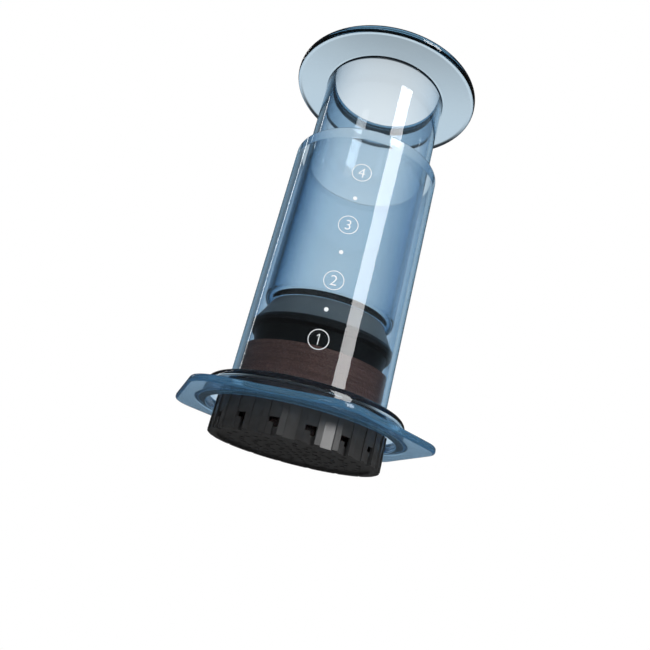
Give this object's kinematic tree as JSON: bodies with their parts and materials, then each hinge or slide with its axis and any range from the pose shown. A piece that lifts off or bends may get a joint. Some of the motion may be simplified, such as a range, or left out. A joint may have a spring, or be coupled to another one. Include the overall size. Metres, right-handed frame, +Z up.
{
  "type": "piston coffee press",
  "caption": "Hand coffee press: a hollow plunger with a rubber seal slides in a clear chamber over a perforated filter cap that twists off, with a hexagonal rest flange.",
  "frame": {"origin": "middle of the filter cap's lowest face, on the axis of the press", "axes": "+Z up along the axis, from the filter cap to the plunger's flange; two corners of the hexagonal flange lie on X, its flats face +Y and -Y"},
  "size_m": [0.1082, 0.0978, 0.1771],
  "materials": {
    "chamber": "clear smoke blue copolyester, moulded, glossy",
    "plunger": "clear smoke blue copolyester, moulded, glossy",
    "seal": "smooth black thermoplastic rubber",
    "cap": "black polypropylene, satin",
    "paper": "thin filter paper"
  },
  "bodies": {
    "chamber": {"chamber": "chamber"},
    "plunger": {"plunger": "plunger", "piston_seal": "seal"},
    "filter": {"filter_paper": "paper"},
    "cap": {"filter_cap": "cap"}
  },
  "joints": [
    {"name": "plunger_slide", "type": "slide", "parent": "chamber", "child": "plunger", "axis": [0, 0, 1], "range_m": [-0.0327, 0.101]},
    {"name": "filter_drop", "type": "slide", "parent": "chamber", "child": "filter", "axis": [0, 0, -1], "range_m": [0, 0.0145]},
    {"name": "cap_twist", "type": "hinge", "parent": "filter", "child": "cap", "pos_m": [0, 0, 0], "axis": [0, 0, -1], "range_deg": [0, 140]}
  ],
  "couplings": [
    {"joint": "filter_drop", "follows": "cap_twist", "m_per_rad": 0.0057296}
  ]
}
